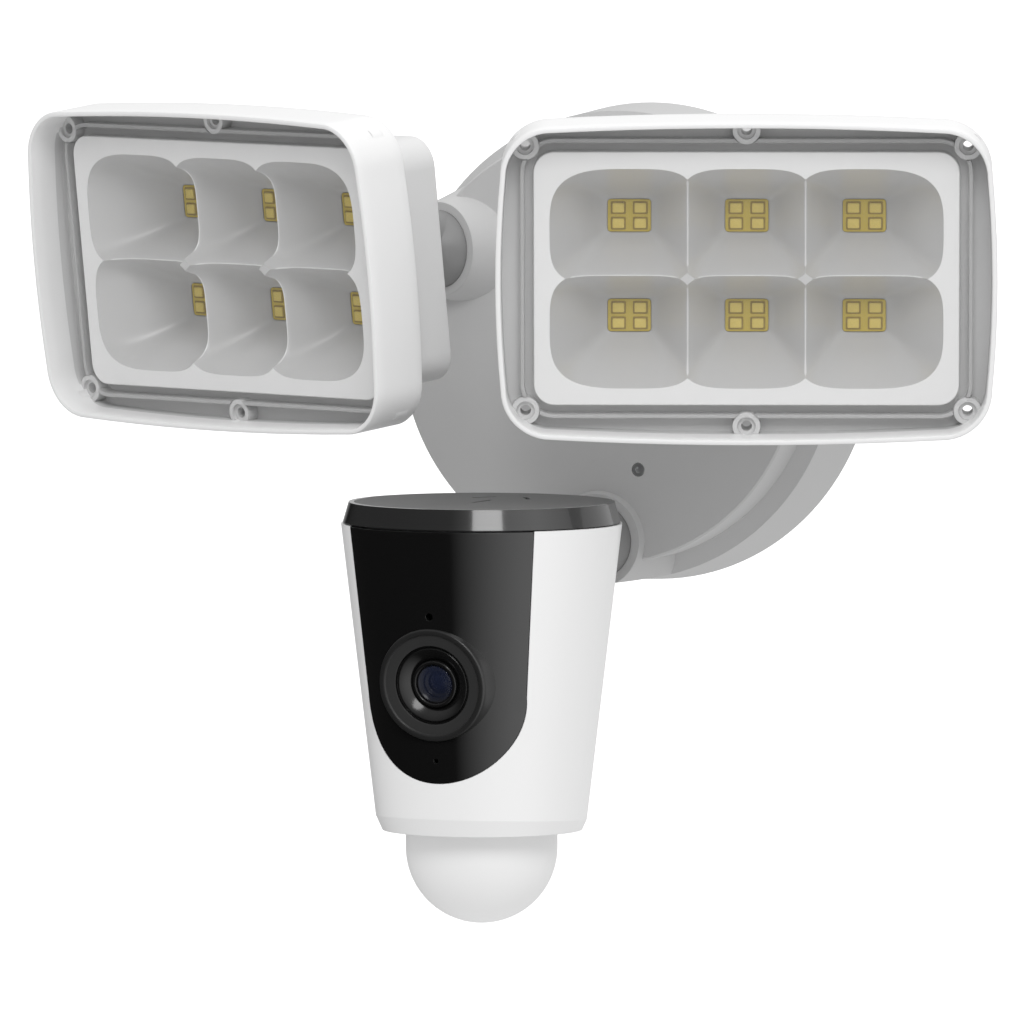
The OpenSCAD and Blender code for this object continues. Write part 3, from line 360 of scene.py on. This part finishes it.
class Cup:
    # one reflector cup; column is -1, 0 or 1 and row -1 or 1
    def __init__(self, column, row):
        self.column, self.row = column, row
        self.centre = (column * lampSizes["cupPitch"], row * lampSizes["rowPitch"] / 2)

    def mouth(self, u, v):
        outerU = self.column != 0 and u * self.column > 0
        outerV = v * self.row > 0
        halfU = cupSizes["outer" if outerU else "inner"][0]
        halfV = cupSizes["outer" if outerV else "inner"][1]
        return halfU, halfV, cupSizes["cornerPower"][int(outerU) + int(outerV)]

    def share(self, u, v):
        # how far up the wall the point is: 0 at the floor, 1 at the mouth
        halfU, halfV, power = self.mouth(u, v)
        floorU, floorV = cupSizes["floor"]
        low, high = 0.0, 1.0
        for _ in range(24):
            middle = (low + high) / 2
            grown = middle ** cupSizes["flare"]
            sectionU = floorU + (halfU - floorU) * grown
            sectionV = floorV + (halfV - floorV) * grown
            sharp = cupSizes["floorPower"] + (power - cupSizes["floorPower"]) * middle
            inside = (abs(u) / sectionU) ** sharp + (abs(v) / sectionV) ** sharp < 1
            low, high = (low, middle) if inside else (middle, high)
        return (low + high) / 2

    def radii(self, angle):
        # distances from the centre to the floor's edge, the mouth and the cell's border
        c, s = cos(angle), sin(angle)
        halfU, halfV, power = self.mouth(c, s)
        mouth = ((abs(c) / halfU) ** power + (abs(s) / halfV) ** power) ** (-1 / power)
        floorU, floorV = cupSizes["floor"]
        sharp = cupSizes["floorPower"]
        floor = ((abs(c) / floorU) ** sharp + (abs(s) / floorV) ** sharp) ** (-1 / sharp)
        border = 1e9
        if c * self.column <= 0 and abs(c) > 1e-6:
            border = lampSizes["cupPitch"] / 2 / abs(c)
        if s * self.row < -1e-6:
            border = min(border, lampSizes["rowPitch"] / 2 / abs(s))
        return floor, mouth, border

    def angles(self):
        # even angles, with the nearest one moved onto each cusp
        count = cupSizes["rays"]
        even = [2 * pi * (k + 0.5) / count for k in range(count)]
        open_ = [self.radii(a)[1] < self.radii(a)[2] for a in even]
        moved = list(even)
        for k in range(count):
            after = (k + 1) % count
            if open_[k] != open_[after]:
                low, high = even[k], even[k] + 2 * pi / count
                for _ in range(40):
                    middle = (low + high) / 2
                    floor, mouth, border = self.radii(middle)
                    if (mouth < border) == open_[k]:
                        low = middle
                    else:
                        high = middle
                nearest = k if low - even[k] < pi / count else after
                moved[nearest] = low
        return moved


def makeReflector(side, place):
    bm = bmesh.new()
    plate = roundedRect(lampSizes["plateWidth"], lampSizes["plateHeight"],
                        lampSizes["plateCorner"])
    edge = lampSizes["plateEdge"]
    softened = roundedRect(lampSizes["plateWidth"] - 2 * edge,
                           lampSizes["plateHeight"] - 2 * edge, lampSizes["plateCorner"] - edge)
    loft(bm, [level(softened, 0), level(plate, -edge), level(plate, -lampSizes["plateThick"])])
    depth = -lampSizes["ledFace"]
    for column in (-1, 0, 1):
        for row in (-1, 1):
            cup = Cup(column, row)
            rays = []
            for angle in cup.angles():
                floor, mouth, border = cup.radii(angle)
                rays.append((angle, floor, min(mouth, border), mouth <= border))
            loops = []
            for step in range(cupSizes["rings"] + 1):
                points = []
                for angle, floor, end, atMouth in rays:
                    radius = floor + (end - floor) * step / cupSizes["rings"]
                    u, v = radius * cos(angle), radius * sin(angle)
                    last = step == cupSizes["rings"] and atMouth
                    share = 1 if last else cup.share(u, v)
                    points.append((cup.centre[0] + u, cup.centre[1] + v, depth * (share - 1)))
                loops.append(points)
            # painted shade: the cup walls take the darker copy of the reflector's paint
            for face in loft(bm, loops):
                face.material_index = 1
    bmesh.ops.remove_doubles(bm, verts=bm.verts, dist=0.02)
    border = [e for e in bm.edges if e.is_boundary and all(v.co.z > -0.01 for v in e.verts)]
    halfPitch = lampSizes["cupPitch"] / 2
    island = cupSizes["island"]
    islands = [e for e in border
               if all(abs(v.co.y) < island and abs(abs(v.co.x) - halfPitch) < island
                      for v in e.verts)]
    bmesh.ops.holes_fill(bm, edges=islands, sides=0)
    outline = [e for e in border if e not in set(islands)]
    bmesh.ops.triangle_fill(bm, edges=outline, use_beauty=True, use_dissolve=False)
    ridges = [e for e in bm.edges if len(e.link_faces) == 2
              and all(v.co.z < -0.05 for v in e.verts)
              and (all(abs(abs(v.co.x) - halfPitch) < 0.02 for v in e.verts)
                   or all(abs(v.co.y) < 0.02 for v in e.verts))]
    bmesh.ops.bevel(bm, geom=ridges, offset=cupSizes["ridge"], segments=2, profile=0.5,
                    affect="EDGES", material=0)
    bmesh.ops.recalc_face_normals(bm, faces=bm.faces)
    if sum(face.normal.z * face.calc_area() for face in bm.faces) < 0:
        bmesh.ops.reverse_faces(bm, faces=bm.faces)
    return finished(f"lamp_{side}_reflectorShell", bm, place, f"lamp_{side}_head",
                    ["reflectorFace", "reflectorCupPaintedShade"],
                    [f"lamp_{side}_reflector"], 35)


ledSizes = {
    "plate": (13, 9.9, 0.5), "plateCorner": 0.9,
    "chip": (3.5, 2.9, 0.5), "chipPitch": (6.6, 4.75), "chipCorner": 0.4,
    # the next two: reach and height of the thin dark rim of painted shadow round each package
    "shadowRim": 0.5, "shadowRimHeight": 0.1,
}


# ochre plates, with painted shadow as thin dark rims round the packages
def makeLights(side, place):
    # ochre plates with their dark-edged packages
    cups = [(column * lampSizes["cupPitch"], row * lampSizes["rowPitch"] / 2)
            for column in (-1, 0, 1) for row in (-1, 1)]
    chips = [(x + i * ledSizes["chipPitch"][0] / 2, y + j * ledSizes["chipPitch"][1] / 2)
             for x, y in cups for i in (-1, 1) for j in (-1, 1)]
    face = lampSizes["ledFace"]
    plates = bmesh.new()
    thick = ledSizes["plate"][2]
    for x, y in cups:
        block(plates, ledSizes["plate"], (x, y, face - thick / 2), ledSizes["plateCorner"], 0.12)
    # painted shadow: dark rims, a little wider than the packages, laid on the plates
    wide = [ledSizes["chip"][k] + 2 * ledSizes["shadowRim"] for k in (0, 1)]
    for x, y in chips:
        block(plates, (*wide, ledSizes["shadowRimHeight"]),
              (x, y, face + ledSizes["shadowRimHeight"] / 2), ledSizes["chipCorner"])
    for part in plates.faces:
        # painted shadow: the thin dark rims that stand on the plates round each package
        part.material_index = int(part.calc_center_median().z > face + 1e-3)
    finished(f"lamp_{side}_lightPlates", plates, place, f"lamp_{side}_head",
             ["ledAmber", "ledPaintedShadow"], [f"lamp_{side}_led_plates"])
    packages = bmesh.new()
    for x, y in chips:
        block(packages, ledSizes["chip"], (x, y, face + ledSizes["chip"][2] / 2 + 0.01),
              ledSizes["chipCorner"], 0.15)
    finished(f"lamp_{side}_lightPackages", packages, place, f"lamp_{side}_head",
             ["ledPhosphor"], [f"lamp_{side}_led_chips"])


bezelSizes = {
    "wall": 1.6,
    "seatBelow": 0.05,                  # the reflector's seat stands this far below the plate
    "opening": 2.7,                     # width of the seat
    "flange": (134.4, 82.0, 12.2),      # recess for the housing's flange
    "bossRadius": 4.2, "bossTop": -0.6, "bossHole": 1.6, "bossSink": 2.7, "sinkDepth": 1.0,
    "bossRoot": 0.4, "bossLimit": 0.6,  # how far a boss stands in the floor and off the side
    "bossAt": [(x * 66.2, y * 40.2) for x in (-1, 1) for y in (-1, 1)]
              + [(0, y * 44.9) for y in (-1, 1)],
}


def rimLoop(inset):
    return roundedRect(lampSizes["width"] - 2 * inset, lampSizes["height"] - 2 * inset,
                       lampSizes["corner"] - inset, lampSizes["crown"])


def seatLoop(grow):
    return roundedRect(lampSizes["plateWidth"] + 2 * grow, lampSizes["plateHeight"] + 2 * grow,
                       max(lampSizes["plateCorner"] + grow, 0.5))


def tool(bm):
    # a throwaway object for a boolean
    mesh = bpy.data.meshes.new("tool")
    bm.to_mesh(mesh)
    bm.free()
    thing = bpy.data.objects.new("tool", mesh)
    bpy.context.scene.collection.objects.link(thing)
    return thing


def carved(bm, steps):
    # bm after joining or cutting each (operation, tool bmesh) in turn
    shape = tool(bm)
    tools = []
    for operation, other in steps:
        tools.append(tool(other))
        change = shape.modifiers.new("carve", "BOOLEAN")
        change.operation = operation
        change.solver = "EXACT"
        change.object = tools[-1]
    bpy.context.view_layer.update()
    mesh = bpy.data.meshes.new_from_object(shape.evaluated_get(
        bpy.context.evaluated_depsgraph_get()))
    result = bmesh.new()
    result.from_mesh(mesh)
    for thing in tools + [shape]:
        old = thing.data
        bpy.data.objects.remove(thing)
        bpy.data.meshes.remove(old)
    bpy.data.meshes.remove(mesh)
    return result


def posts(places, radius, low, high, segments=48):
    bm = bmesh.new()
    for x, y in places:
        made = bmesh.ops.create_cone(bm, cap_ends=True, segments=segments, radius1=radius,
                                     radius2=radius, depth=high - low)["verts"]
        bmesh.ops.translate(bm, vec=(x, y, (low + high) / 2), verts=made)
    return bm


def makeBezel(side, place):
    top, back = lampSizes["front"], -lampSizes["back"]
    channel, floor = lampSizes["channel"], lampSizes["floor"]
    wall, seat = bezelSizes["wall"], -lampSizes["plateThick"] - bezelSizes["seatBelow"]
    opening = -bezelSizes["opening"]
    flange = bezelSizes["flange"]
    bm = bmesh.new()
    loops = [(rimLoop(1.2), back), (rimLoop(0.35), back + 0.35), (rimLoop(0), back + 1.2),
             (rimLoop(0), -6), (rimLoop(0), -2), (rimLoop(0), 2), (rimLoop(0), 6),
             (rimLoop(0), top - 0.6), (rimLoop(0.18), top - 0.18), (rimLoop(0.55), top),
             (rimLoop(wall - 0.5), top), (rimLoop(wall - 0.15), top - 0.15),
             (rimLoop(wall), top - 0.5), (rimLoop(wall), 5), (rimLoop(wall), 0),
             (rimLoop(wall), channel + 0.5), (rimLoop(wall + 0.15), channel + 0.15),
             (rimLoop(wall + 0.5), channel),
             (seatLoop(0.4), channel), (seatLoop(0.1), channel + 0.15),
             (seatLoop(0), channel + 0.5),
             (seatLoop(0), seat), (seatLoop(opening), seat), (seatLoop(opening), floor),
             (roundedRect(*flange), floor), (roundedRect(*flange), back)]
    loft(bm, [level(points, height) for points, height in loops], closed=True)
    bmesh.ops.recalc_face_normals(bm, faces=bm.faces)
    bosses = posts(bezelSizes["bossAt"], bezelSizes["bossRadius"],
                   channel - bezelSizes["bossRoot"], bezelSizes["bossTop"])
    limit = lampSizes["height"] / 2 - bezelSizes["bossLimit"]
    for sign in (-1, 1):
        cut = bmesh.ops.bisect_plane(bosses, geom=bosses.verts[:] + bosses.edges[:]
                                     + bosses.faces[:], plane_co=(0, sign * limit, 0),
                                     plane_no=(0, sign, 0), clear_outer=True)["geom_cut"]
        bmesh.ops.holes_fill(bosses, edges=[e for e in cut if isinstance(e, bmesh.types.BMEdge)])
    bmesh.ops.recalc_face_normals(bosses, faces=bosses.faces)
    sink = bezelSizes["bossTop"] - bezelSizes["sinkDepth"]
    bm = carved(bm, [("UNION", bosses),
                     ("DIFFERENCE", posts(bezelSizes["bossAt"], bezelSizes["bossSink"], sink, 2)),
                     ("DIFFERENCE", posts(bezelSizes["bossAt"], bezelSizes["bossHole"],
                                          back - 5, 2, 32))])
    # painted shade: the tray between the walls and the walls' lower part are painted a darker grey, the outer side
    # and the walls' upper part are white
    core = lampSizes["crown"] + lampSizes["corner"]
    for part in bm.faces:
        middle = part.calc_center_median()
        spread = hypot(max(abs(middle.x) - lampSizes["width"] / 2 + core, 0),
                       max(abs(middle.y) - lampSizes["height"] / 2 + core, 0))
        part.material_index = int(spread < lampSizes["corner"] - 0.05
                                  and back + 1 < middle.z <= bezelSizes["bossTop"] + 0.01)
    return finished(f"lamp_{side}_bezelFrame", bm, place, f"lamp_{side}_head",
                    ["lampWhite", "trayPaintedShade"], [f"lamp_{side}_bezel"], 30)


for side in ("left", "right"):
    place = lampPlace(side)
    makeReflector(side, place)
    makeLights(side, place)
    makeBezel(side, place)
    print(side, "lamp made")


# Camera head.
cameraSizes = {
    "reach": 63.1, "hingeDrop": 15.1, "topRadius": 42.4, "bottomRadius": 31.4, "height": 92.6,
    "lensDrop": 46.5, "lensBand": (12.1, 15.3),       # radii of the matt ring round the lens
}


def cameraPlace():
    # the camera's own frame: z up from the housing's top edge
    hinge = Vector(joints["camera_tilt"]["pos_m"])
    return Matrix.Translation(hinge + Vector((0, -cameraSizes["reach"] * mm,
                                              cameraSizes["hingeDrop"] * mm)))


def lensPlace():
    # z out of the lens, at the housing's surface
    taper = (cameraSizes["topRadius"] - cameraSizes["bottomRadius"]) / cameraSizes["height"]
    radius = cameraSizes["topRadius"] - taper * cameraSizes["lensDrop"]
    move = Matrix.Translation(Vector((0, -radius, -cameraSizes["lensDrop"])) * mm)
    return cameraPlace() @ move @ Matrix.Rotation(pi / 2 + atan2(taper, 1), 4, "X")


lensRing = [(18.6, -5.2), (18.3, -4.4), (17.7, -2.6), (17.3, -1.2), (17.12, -0.3), (17.1, 0.4),
            (17.0, 0.65), (16.75, 0.8), (15.75, 0.8), (15.45, 0.7), (15.3, 0.45), (15.2, 0.3),
            (14.9, 0.26), (12.3, 0.26), (12.0, 0.2), (11.9, 0.0), (11.85, -0.7), (11.5, -0.8),
            (11.2, -0.75), (11.15, -0.15), (11.0, -0.05), (10.7, -0.15), (9.4, -0.9),
            (8.3, -1.75), (7.5, -2.4), (7.3, -2.6)]
lensBarrel = [(7.25, -2.8), (7.2, -1.7), (7.05, -1.4), (6.8, -1.25), (6.25, -1.25), (6.0, -1.4),
              (5.85, -1.8), (5.8, -2.6), (5.4, -3.0), (4.4, -3.4), (4.3, -4.4), (3.4, -4.8),
              (3.3, -6.2), (2.4, -6.6), (0, -6.6)]
lensGlass = [(5.75, -2.5), (5.7, -2.15), (5.2, -1.85), (4.4, -1.55), (3.4, -1.28), (2.3, -1.1),
             (1.1, -1.0), (0, -0.98)]
innerGlass = [(3.25, -5.6), (2.9, -5.1), (2.2, -4.65), (1.2, -4.3), (0, -4.2)]


def makeLens():
    place = lensPlace()
    inner, outer = cameraSizes["lensBand"]
    bm = bmesh.new()
    turned(bm, lensRing, 128)
    for part in bm.faces:
        reach = hypot(*part.calc_center_median().xy)
        part.material_index = 2 if reach > outer else 1 if reach > inner else 0
    finished("camera_lensSurround", bm, place, "camera_head",
             ["lensGloss", "lensMatte", "lensRim"], ["camera_lens_ring"], 40)
    bm = bmesh.new()
    turned(bm, lensBarrel)
    finished("camera_lensMount", bm, place, "camera_head", ["lensGloss"],
             ["camera_lens_barrel"], 25)
    bm = bmesh.new()
    turned(bm, lensGlass)
    turned(bm, innerGlass)
    finished("camera_lensElements", bm, place, "camera_head", ["lensGlass"],
             ["camera_lens_glass"], 60)


makeLens()
print("lens made")


# Floor, light and the camera that takes the picture.
studio = {
    "floorDrop": 0.1, "floorSize": 60, "floorGlow": 0.95,
    "seen": 1.2,                        # brightness of the background itself
    "skyBase": 0.42, "skyTop": 0.85, "skyBelow": 0.62,      # light on the pieces
    # and what glossy pieces reflect
    "shineBase": 0.02, "shineTop": 0.5, "shineBack": 0.9, "shineSide": 1.8,
    "azimuth": 23.5, "elevation": 3.8, "distance": 5.168, "lens": 589,
    "aimRight": -0.0444, "aimUp": -0.0529, "sensor": 36, "farEnd": 200,
    "key": {"spot": (0.75, -1.5, 1.1), "target": (0, -0.1, 0), "size": (0.8, 0.8), "power": 12},
}


def softLight(name, spot, target, size, power):
    light = bpy.data.lights.new(name, "AREA")
    light.shape = "RECTANGLE"
    light.size, light.size_y = size
    light.energy = power
    thing = bpy.data.objects.new(name, light)
    bpy.context.scene.collection.objects.link(thing)
    thing.location = spot
    thing.rotation_euler = (Vector(target) - Vector(spot)).to_track_quat("-Z", "Y").to_euler()


def makeStudio():
    scene = bpy.context.scene
    scene.view_settings.view_transform = "Standard"
    world = bpy.data.worlds.new("softSky")
    world.use_nodes = True
    tree = world.node_tree
    tree.nodes.clear()
    start = Wire(tree)
    compass = start.make("ShaderNodeTexCoord")
    parts = [start.make("ShaderNodeSeparateXYZ", None, {"Vector": compass}, out=axis)
             for axis in range(3)]
    above = (parts[2] * 1.5 - 0.1).clamped()
    below = (parts[2] * -1.5).clamped()
    behind = (parts[0] * 0.8 + parts[1] * 1.4 - 0.35).clamped()
    glow = studio["skyBase"] + studio["skyTop"] * above + studio["skyBelow"] * below
    aside = (parts[0] * 0.9 + 0.05 - behind).clamped()
    shine = (studio["shineBase"] + studio["shineTop"] * above + studio["shineBack"] * behind
             + studio["shineSide"] * aside)
    seen = start.make("ShaderNodeLightPath", out="Is Camera Ray")
    glossy = start.make("ShaderNodeLightPath", out="Is Glossy Ray")
    strength = glow * (1 - seen - glossy) + shine * glossy + studio["seen"] * seen
    sky = start.make("ShaderNodeBackground", None, {"Color": (1, 1, 1, 1), "Strength": strength})
    start.make("ShaderNodeOutputWorld", None, {"Surface": sky})
    scene.world = world
    bm = bmesh.new()
    bmesh.ops.create_grid(bm, x_segments=8, y_segments=8, size=studio["floorSize"] / 2)
    ground = cadBox[0][2] - studio["floorDrop"]
    bmesh.ops.translate(bm, vec=(0, studio["floorSize"] / 4, ground), verts=bm.verts)
    mesh = bpy.data.meshes.new("floor")
    bm.to_mesh(mesh)
    bm.free()
    floor = bpy.data.objects.new("floor", mesh)
    scene.collection.objects.link(floor)
    paint = bpy.data.materials.new("paleFloor")
    paint.use_nodes = True
    shader = paint.node_tree.nodes["Principled BSDF"]
    shader.inputs["Base Color"].default_value = (0.3, 0.3, 0.3, 1)
    shader.inputs["Roughness"].default_value = 0.9
    shader.inputs["Emission Color"].default_value = (1, 1, 1, 1)
    shader.inputs["Emission Strength"].default_value = studio["floorGlow"]
    mesh.materials.append(paint)
    # the pieces are lit by the sky and the lights, not by the floor
    floor.visible_glossy = False
    floor.visible_diffuse = False

    softLight("keyLight", **studio["key"])

    azimuth, elevation = radians(studio["azimuth"]), radians(studio["elevation"])
    right = Vector((cos(azimuth), sin(azimuth), 0))
    away = Vector((sin(azimuth) * cos(elevation), -cos(azimuth) * cos(elevation), sin(elevation)))
    up = away.cross(right)
    aim = studio["aimRight"] * right + studio["aimUp"] * up
    lens = bpy.data.cameras.new("camera")
    lens.lens = studio["lens"]
    lens.sensor_width = studio["sensor"]
    lens.clip_end = studio["farEnd"]
    view = bpy.data.objects.new("camera", lens)
    scene.collection.objects.link(view)
    turn = Matrix((right, up, away)).transposed().to_4x4()
    turn.translation = aim + studio["distance"] * away
    view.matrix_world = turn
    scene.camera = view


makeStudio()
print("studio ready")
